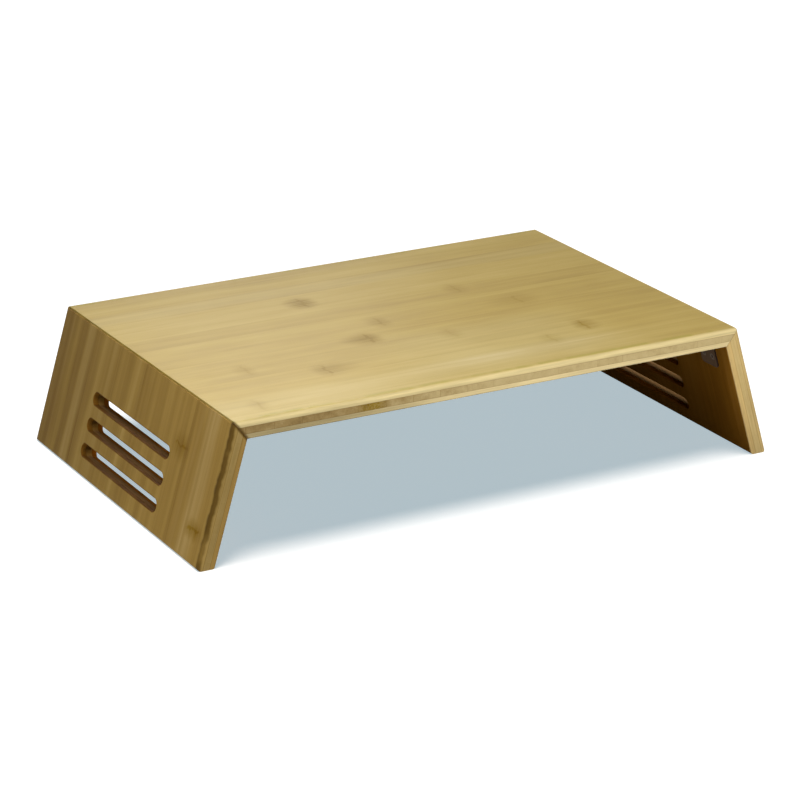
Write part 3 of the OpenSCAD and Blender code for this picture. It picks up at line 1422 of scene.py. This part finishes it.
@dataclass
class HingeSet:
    """The four butt hinges, each with a leaf on the top, a leaf on a leg and a pin."""

    leaf_steel: SteelFinish = SteelFinish("dark_leaf", (0.075, 0.050, 0.040), (0.035, 0.023, 0.018), 0.42)
    pin_steel: SteelFinish = SteelFinish("dark_pin", (0.14, 0.115, 0.10), (0.065, 0.052, 0.046), 0.32)

    def dress(self) -> None:
        """Gives the leaves and the pins their plating."""
        leaf = self.leaf_steel.make()
        pin = self.pin_steel.make()
        for side in Side:
            for end in End:
                name = f"{side.word}_{end.word}"
                cover(f"{name}_top_leaf", leaf)
                cover(f"{name}_leg_leaf", leaf)
                cover(f"{name}_pin", pin)


@dataclass(frozen=True)
class ScrewSeat:
    """Where a screw sits: the middle of its head, and the way that its tip points."""

    point: Vector
    axis: Vector


@dataclass
class WoodScrews:
    """The countersunk wood screws of the hinges, with a thread, a pointed tip and a cross recess."""

    riser: Riser
    head_d: float = 5.4 * MM
    shank_d: float = 2.9 * MM
    length: float = 9.5 * MM
    tip_len: float = 2.6 * MM
    tip_blunt: float = 0.02
    neck_len: float = 2.1 * MM
    thread_pitch: float = 1.3 * MM
    thread_depth: float = 0.42 * MM
    thread_flank: Span = (0.04, 0.3)
    thread_run_in: float = 0.6 * MM
    rim_h: float = 0.15 * MM
    recess_span: float = 3.2 * MM
    recess_w: float = 0.8 * MM
    recess_depth: float = 1.0 * MM
    recess_taper: float = 0.55
    crease: float = math.radians(38)
    spacing: float = 11 * MM
    seed: int = 7
    around: int = 36
    rings: int = 64
    steel: SteelFinish = SteelFinish("dark_screw", (0.15, 0.118, 0.10), (0.07, 0.055, 0.047), 0.34)

    def sizes(self) -> dict[str, float]:
        """The screw's sizes, by the names of the node tree's inputs.

        Returns:
            Each input's size.
        """
        return {
            "Head Diameter": self.head_d,
            "Shank Diameter": self.shank_d,
            "Length": self.length,
            "Tip Length": self.tip_len,
            "Neck Length": self.neck_len,
            "Thread Pitch": self.thread_pitch,
            "Thread Depth": self.thread_depth,
            "Rim Height": self.rim_h,
            "Recess Span": self.recess_span,
            "Recess Width": self.recess_w,
            "Recess Depth": self.recess_depth,
        }

    def tree(self) -> bpy.types.NodeTree:
        """Builds the node tree that sets a screw on each point, along the point's axis.

        Returns:
            The node tree.
        """
        tree = bpy.data.node_groups.new("hinge_screws", "GeometryNodeTree")
        sheet = NodeSheet(tree)
        tree.interface.new_socket("Geometry", in_out="INPUT", socket_type="NodeSocketGeometry")
        for name in self.sizes():
            tree.interface.new_socket(name, in_out="INPUT", socket_type="NodeSocketFloat")
        tree.interface.new_socket("Seed", in_out="INPUT", socket_type="NodeSocketInt")
        tree.interface.new_socket("Steel", in_out="INPUT", socket_type="NodeSocketMaterial")
        tree.interface.new_socket("Geometry", in_out="OUTPUT", socket_type="NodeSocketGeometry")
        given = sheet.add("NodeGroupInput").outputs

        screw = self.blank(sheet, given)
        for along_x, along_y in (("Recess Span", "Recess Width"), ("Recess Width", "Recess Span")):
            cutter = self.recess_arm(sheet, given[along_x], given[along_y], given["Recess Depth"])
            cut = sheet.add("GeometryNodeMeshBoolean", operation="DIFFERENCE", solver="EXACT")
            sheet.feed(cut.inputs["Mesh 1"], screw)
            sheet.feed(cut.inputs["Mesh 2"], cutter)
            screw = cut.outputs["Mesh"]

        turned = self.turned(sheet, given["Seed"])
        seats = {"Points": given["Geometry"], "Instance": self.shaded(sheet, screw), "Rotation": turned}
        placed = sheet.wired("GeometryNodeInstanceOnPoints", seats).outputs["Instances"]
        real = sheet.wired("GeometryNodeRealizeInstances", {"Geometry": placed}).outputs["Geometry"]
        clad = sheet.wired("GeometryNodeSetMaterial", {"Geometry": real, "Material": given["Steel"]})
        sheet.wired("NodeGroupOutput", {"Geometry": clad.outputs["Geometry"]})
        return tree

    def blank(self, sheet: NodeSheet, given: bpy.types.NodeOutputs) -> Socket:
        """Adds the nodes of a screw with no recess, its head at zero and its tip up.

        Args:
            sheet: The tree's nodes.
            given: The tree's inputs.

        Returns:
            The screw's mesh.
        """
        sizes = {"Vertices": self.around, "Side Segments": self.rings, "Radius": 1.0, "Depth": 1.0}
        tube = sheet.wired("GeometryNodeMeshCylinder", sizes, fill_type="NGON").outputs["Mesh"]
        x, y, z = sheet.split(sheet.add("GeometryNodeInputPosition").outputs[0])
        along = sheet.math("MULTIPLY", sheet.math("ADD", z, 0.5), given["Length"])

        # Thread: a ridge that climbs one pitch in each turn, below a smooth neck
        turns = sheet.math("DIVIDE", sheet.math("ARCTAN2", y, x), 2 * math.pi)
        climb = sheet.math("SUBTRACT", sheet.math("DIVIDE", along, given["Thread Pitch"]), turns)
        groove = sheet.step(sheet.away(sheet.math("FRACT", climb), 0.5), *self.thread_flank)
        past_neck = sheet.math("SUBTRACT", along, given["Neck Length"])
        groove = sheet.math("MULTIPLY", groove, sheet.step(past_neck, 0.0, self.thread_run_in))
        shank = sheet.math("MULTIPLY", given["Shank Diameter"], 0.5)
        shank = sheet.math("SUBTRACT", shank, sheet.math("MULTIPLY", groove, given["Thread Depth"]))
        to_tip = sheet.math("DIVIDE", sheet.math("SUBTRACT", given["Length"], along), given["Tip Length"])
        tip = sheet.math("MINIMUM", sheet.math("MAXIMUM", to_tip, self.tip_blunt), 1.0)
        shank = sheet.math("MULTIPLY", shank, tip)

        # Head: a countersunk cone under a low upright rim
        head = sheet.math("MULTIPLY", given["Head Diameter"], 0.5)
        cone = sheet.math("SUBTRACT", head, along)
        rim = sheet.math("SUBTRACT", head, given["Rim Height"])
        radius = sheet.math("MAXIMUM", sheet.math("MINIMUM", cone, rim), shank)

        point = sheet.join(sheet.math("MULTIPLY", x, radius), sheet.math("MULTIPLY", y, radius), along)
        moved = sheet.wired("GeometryNodeSetPosition", {"Geometry": tube, "Position": point})
        return moved.outputs["Geometry"]

    def recess_arm(self, sheet: NodeSheet, span_x: Socket, span_y: Socket, depth: Socket) -> Socket:
        """Adds the nodes of one tapered arm of the cross recess.

        Args:
            sheet: The tree's nodes.
            span_x: The arm's size along X.
            span_y: The arm's size along Y.
            depth: The recess's depth below the head's face.

        Returns:
            The mesh to cut out of the head.
        """
        arm = sheet.wired("GeometryNodeMeshCube", {"Size": (1.0, 1.0, 1.0)}).outputs["Mesh"]
        x, y, z = sheet.split(sheet.add("GeometryNodeInputPosition").outputs[0])
        taper = sheet.math("MULTIPLY_ADD", z, -self.recess_taper, 1.0)

        # The arm reaches as far out of the head as into it
        point = sheet.join(
            sheet.product(x, span_x, taper),
            sheet.product(y, span_y, taper),
            sheet.product(z, depth, 2.0),
        )
        moved = sheet.wired("GeometryNodeSetPosition", {"Geometry": arm, "Position": point})
        return moved.outputs["Geometry"]

    def shaded(self, sheet: NodeSheet, mesh: Socket) -> Socket:
        """Adds the nodes that shade a mesh smooth, but for its sharp edges.

        Args:
            sheet: The tree's nodes.
            mesh: The screw's mesh.

        Returns:
            The shaded mesh.
        """
        faces = {"Geometry": mesh, "Shade Smooth": True}
        smooth = sheet.wired("GeometryNodeSetShadeSmooth", faces, domain="FACE").outputs["Geometry"]
        angle = sheet.add("GeometryNodeInputMeshEdgeAngle").outputs["Unsigned Angle"]
        sharp = sheet.math("GREATER_THAN", angle, self.crease)
        edges = {"Geometry": smooth, "Selection": sharp, "Shade Smooth": False}
        return sheet.wired("GeometryNodeSetShadeSmooth", edges, domain="EDGE").outputs["Geometry"]

    def turned(self, sheet: NodeSheet, seed: Socket) -> Socket:
        """Adds the nodes that turn each screw along its axis, with its recess at a random angle.

        Args:
            sheet: The tree's nodes.
            seed: The seed of the random angles.

        Returns:
            Each screw's rotation.
        """
        named = sheet.wired("GeometryNodeInputNamedAttribute", {"Name": "axis"}, data_type="FLOAT_VECTOR")
        axis = {"Vector": named.outputs["Attribute"]}
        aligned = sheet.wired("FunctionNodeAlignRotationToVector", axis, axis="Z").outputs["Rotation"]

        # The node's sockets for numbers come after those for vectors, which have the same names
        chance = sheet.add("FunctionNodeRandomValue", data_type="FLOAT")
        sheet.feed(chance.inputs[3], math.pi)
        sheet.feed(chance.inputs["Seed"], seed)
        angle = {"Axis": (0.0, 0.0, 1.0), "Angle": chance.outputs[1]}
        spin = sheet.wired("FunctionNodeAxisAngleToRotation", angle).outputs["Rotation"]
        both = {"Rotation": aligned, "Rotate By": spin}
        return sheet.wired("FunctionNodeRotateRotation", both, rotation_space="LOCAL").outputs["Rotation"]

    def top_seats(self, side: Side) -> list[ScrewSeat]:
        """The seats of a side's screws in the top, which stand upright in its underside.

        Args:
            side: The screws' side.

        Returns:
            The seats.
        """
        low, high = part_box(f"{side.word}_top_screws")
        outer = high.y - self.head_d / 2
        rows = [end.value * (outer - inward) for end in End for inward in (0.0, self.spacing)]
        return [ScrewSeat(Vector(((low.x + high.x) / 2, y, low.z)), Vector((0, 0, 1))) for y in rows]

    def leg_seats(self, side: Side) -> list[ScrewSeat]:
        """The seats of a side's screws in the leg: the top's seats, mirrored in the mitre's plane.

        Args:
            side: The screws' side.

        Returns:
            The seats.
        """
        pin = Vector((side.value * self.riser.pin_out, 0.0, self.riser.pin_up))
        slope = Vector((side.value * math.sin(self.riser.splay), 0.0, -math.cos(self.riser.splay)))
        mitre = (slope + Vector((-side.value, 0.0, 0.0))).normalized()
        normal = mitre.cross(Vector((0, 1, 0)))
        seats = []
        for seat in self.top_seats(side):
            point = pin + reflected(seat.point - pin, normal)
            axis = reflected(seat.axis, normal)
            seats.append(ScrewSeat(point, -axis if axis.x * side.value < 0 else axis))
        return seats

    def drive(
        self, name: str, seats: Sequence[ScrewSeat], tree: bpy.types.NodeTree, steel: bpy.types.Material
    ) -> bpy.types.Object:
        """Makes the screws of one body.

        Args:
            name: The piece's name.
            seats: Where its screws sit.
            tree: The node tree that makes a screw on each point.
            steel: The screws' material.

        Returns:
            The screws as one plain mesh object.
        """
        points = bpy.data.meshes.new(f"{name}_points")
        points.from_pydata([seat.point for seat in seats], [], [])
        axes = points.attributes.new("axis", "FLOAT_VECTOR", "POINT")
        for item, seat in zip(axes.data, seats):
            item.vector = seat.axis
        piece = bpy.data.objects.new(name, points)
        bpy.context.scene.collection.objects.link(piece)
        modifier = piece.modifiers.new("screws", "NODES")
        modifier.node_group = tree
        values = {**self.sizes(), "Seed": self.seed, "Steel": steel}
        for item in tree.interface.items_tree:
            if item.in_out == "INPUT" and item.name in values:
                modifier[item.identifier] = values[item.name]
        evaluated = piece.evaluated_get(bpy.context.evaluated_depsgraph_get())
        mesh = bpy.data.meshes.new_from_object(evaluated)
        mesh.name = name
        piece.modifiers.clear()
        piece.data = mesh
        bpy.data.meshes.remove(points)
        return piece

    def build(self) -> None:
        """Drives the screws of the three bodies and hides the plain ones that they stand for."""
        tree = self.tree()
        steel = self.steel.make()
        in_top = [seat for side in Side for seat in self.top_seats(side)]
        sets = [("top_hinge_screws", "top", in_top, [f"{side.word}_top_screws" for side in Side])]
        for side in Side:
            leg = f"{side.word}_leg"
            sets.append((f"{leg}_hinge_screws", leg, self.leg_seats(side), [f"{leg}_screws"]))
        for name, body, seats, plain in sets:
            piece = self.drive(name, seats, tree, steel)
            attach(piece, body)
            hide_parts(*plain)
            LOG.info("%s: %d screws, %d faces", name, len(seats), len(piece.data.polygons))


class Reach(Enum):
    """What a lamp shines on: the floor alone, the whole riser or one of its legs."""

    FLOOR = "floor"
    RISER = "riser"
    LEFT_LEG = "left_leg"
    RIGHT_LEG = "right_leg"

    def link(self, receivers: bpy.types.Collection, floor: bpy.types.Object) -> None:
        """Fills a lamp's list of receivers.

        Args:
            receivers: The lamp's list, which is empty.
            floor: The floor, which a lamp of the whole riser leaves dark.
        """
        nodes = frame["record"]["behaviour"]["bodies"].get(self.value, [])
        for lit in [frame["nodes"][node] for node in nodes] or [floor]:
            receivers.objects.link(lit)
        if self is Reach.RISER:
            receivers.collection_objects[0].light_linking.link_state = "EXCLUDE"


@dataclass(frozen=True)
class Lamp(ABC):
    """A white studio lamp: what all kinds of it share."""

    name: str
    power: float
    reach: Reach

    @abstractmethod
    def bulb(self) -> bpy.types.Light:
        """The lamp's light, which each kind makes in its own way."""

    @abstractmethod
    def stand(self, thing: bpy.types.Object) -> None:
        """Places and turns the lamp, which each kind does in its own way."""

    def hang(self, floor: bpy.types.Object) -> None:
        """Adds the lamp to the scene.

        Args:
            floor: The floor, which has lamps of its own.
        """
        light = self.bulb()
        light.energy = self.power
        thing = bpy.data.objects.new(self.name, light)
        thing.visible_camera = False
        self.stand(thing)
        bpy.context.scene.collection.objects.link(thing)
        receivers = bpy.data.collections.new(f"{self.name}_receivers")
        self.reach.link(receivers, floor)
        thing.light_linking.receiver_collection = receivers


@dataclass(frozen=True)
class Softbox(Lamp):
    """A rectangular lamp near the riser: its place, the point that it faces, and its width and height."""

    place: Triple
    aim: Triple
    size: Span
    mirrored: bool = True

    def bulb(self) -> bpy.types.Light:
        """An area light of the softbox's size.

        Returns:
            The light.
        """
        light = bpy.data.lights.new(self.name, "AREA")
        light.shape = "RECTANGLE"
        light.size, light.size_y = self.size
        return light

    def stand(self, thing: bpy.types.Object) -> None:
        """Places the softbox and aims it, and hides its mirror image where it would bleach the top.

        Args:
            thing: The lamp's object.
        """
        thing.visible_glossy = self.mirrored
        thing.location = self.place
        thing.rotation_euler = aimed(Vector(self.aim) - Vector(self.place))


@dataclass(frozen=True)
class SkyLamp(Lamp):
    """A broad lamp far overhead, which lights everything evenly."""

    towards: Triple
    spread: float

    def bulb(self) -> bpy.types.Light:
        """A sun light with a soft edge.

        Returns:
            The light.
        """
        light = bpy.data.lights.new(self.name, "SUN")
        light.angle = self.spread
        return light

    def stand(self, thing: bpy.types.Object) -> None:
        """Turns the lamp the way it shines."""
        thing.rotation_euler = aimed(Vector(self.towards))


@dataclass
class Studio:
    """The pale floor, the lamps, the white surroundings and the camera."""

    floor_half: float = 12.0
    floor_drop: float = 0.05 * MM
    eye: Triple = (-0.9859, -1.7865, 0.7867)
    target: Triple = (0.0478, 0.0847, 0.0)
    lens: float = 133.9
    sensor: float = 36.0
    shade: Colour = (0.425, 0.52, 0.568)
    paint: Colour = (0.75, 0.66, 0.6)
    floor_bounce: float = 0.15
    bounce_ends: Span = (-0.98, -0.75)
    lamps: tuple[Lamp, ...] = (
        SkyLamp("shadow_lamp", 3.2, Reach.FLOOR, (0.12, 0.1, -1.0), math.radians(27)),
        Softbox("overhead", 3.9, Reach.RISER, (0.0, -0.2, 1.1), (0.0, 0.0, 0.1), (0.8, 0.8)),
        Softbox("overhead_left", 2.1, Reach.RISER, (-0.38, -0.2, 0.62), (-0.1, -0.05, 0.1), (0.4, 0.4)),
        Softbox("front", 9.9, Reach.RISER, (0.22, -1.1, 0.3), (0.0, -0.1, 0.06), (0.5, 0.3), mirrored=False),
        Softbox("left_fill", 1.0, Reach.RISER, (-1.1, -0.32, 0.42), (-0.2, 0.0, 0.05), (0.6, 0.3)),
        Softbox("left_bounce", 0.85, Reach.LEFT_LEG, (-0.5, -0.25, -0.2), (-0.22, -0.05, 0.04), (0.5, 0.1)),
        Softbox("right_fill", 6.0, Reach.RIGHT_LEG, (0.5, 0.15, 0.95), (0.21, 0.0, 0.05), (0.3, 0.3)),
        Softbox("floor_glow", 0.95, Reach.RIGHT_LEG, (0.0, -0.4, 0.0), (0.0, -0.4, 0.1), (0.5, 0.4)),
        Softbox("back_sheen", 6.2, Reach.RISER, (0.47, 1.24, 0.85), (-0.1, -0.05, 0.1), (0.4, 0.4)),
    )

    def build(self) -> None:
        """Sets the stage around the riser."""
        floor = self.lay_floor()
        for lamp in self.lamps:
            lamp.hang(floor)
        self.surround()
        self.aim_camera()
        bpy.context.scene.view_settings.view_transform = "Standard"

    def lay_floor(self) -> bpy.types.Object:
        """Lays a pale floor that keeps a shadow and sends no light back up.

        Returns:
            The floor.
        """
        half = self.floor_half
        corners = [(-half, -half, 0), (half, -half, 0), (half, half, 0), (-half, half, 0)]
        mesh = bpy.data.meshes.new("floor")
        mesh.from_pydata(corners, [], [(0, 1, 2, 3)])
        mesh.materials.append(self.floor_paint())
        floor = bpy.data.objects.new("floor", mesh)
        floor.location.z = -self.floor_drop
        floor.visible_diffuse = False
        floor.visible_shadow = False
        bpy.context.scene.collection.objects.link(floor)
        return floor

    def floor_paint(self) -> bpy.types.Material:
        """Builds a pale matt paint whose shadows stay cool, and which is clear from below.

        Returns:
            The material.
        """
        material, sheet = new_material("pale_floor")
        glow = sheet.wired("ShaderNodeEmission", {"Color": with_alpha(self.shade)})
        matt = sheet.wired("ShaderNodeBsdfDiffuse", {"Color": with_alpha(self.paint)})
        both = sheet.add("ShaderNodeAddShader")
        sheet.feed(both.inputs[0], glow.outputs[0])
        sheet.feed(both.inputs[1], matt.outputs[0])
        choice = sheet.add("ShaderNodeMixShader")
        sheet.feed(choice.inputs[0], sheet.add("ShaderNodeNewGeometry").outputs["Backfacing"])
        sheet.feed(choice.inputs[1], both.outputs[0])
        sheet.feed(choice.inputs[2], sheet.add("ShaderNodeBsdfTransparent").outputs[0])
        sheet.wired("ShaderNodeOutputMaterial", {"Surface": choice.outputs[0]})
        return material

    def surround(self) -> None:
        """Sets white surroundings, which light the riser only from below, as a pale floor would."""
        world = bpy.data.worlds.new("studio")
        world.use_nodes = True
        bpy.context.scene.world = world
        sheet = NodeSheet(world.node_tree)
        upward = sheet.split(sheet.add("ShaderNodeTexCoord").outputs["Generated"])[2]
        bounce = sheet.step(upward, *self.bounce_ends, self.floor_bounce, 0.0)
        path = sheet.add("ShaderNodeLightPath")
        seen = sheet.math("MINIMUM", sheet.total(*(path.outputs[ray.value] for ray in Ray)), 1.0)
        colour = sheet.blend(seen, sheet.join(bounce, bounce, bounce), WHITE)
        sky = sheet.wired("ShaderNodeBackground", {"Color": colour})
        sheet.wired("ShaderNodeOutputWorld", {"Surface": sky.outputs[0]})

    def aim_camera(self) -> None:
        """Sets the camera at the photograph's angle."""
        camera = bpy.data.cameras.new("camera")
        camera.lens = self.lens
        camera.sensor_width = self.sensor
        thing = bpy.data.objects.new("camera", camera)
        thing.location = self.eye
        thing.rotation_euler = aimed(Vector(self.target) - Vector(self.eye))
        bpy.context.scene.collection.objects.link(thing)
        bpy.context.scene.camera = thing


def main() -> None:
    """Builds the riser's looks and its studio."""
    logging.basicConfig(level=logging.INFO, format="%(message)s")
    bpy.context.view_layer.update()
    riser = Riser.of_frame()
    TopBoard(riser).dress()
    for side in Side:
        FoldingLeg(riser, side).dress()
    HingeSet().dress()
    WoodScrews(riser).build()
    Studio().build()


if __name__ == "__main__":
    main()
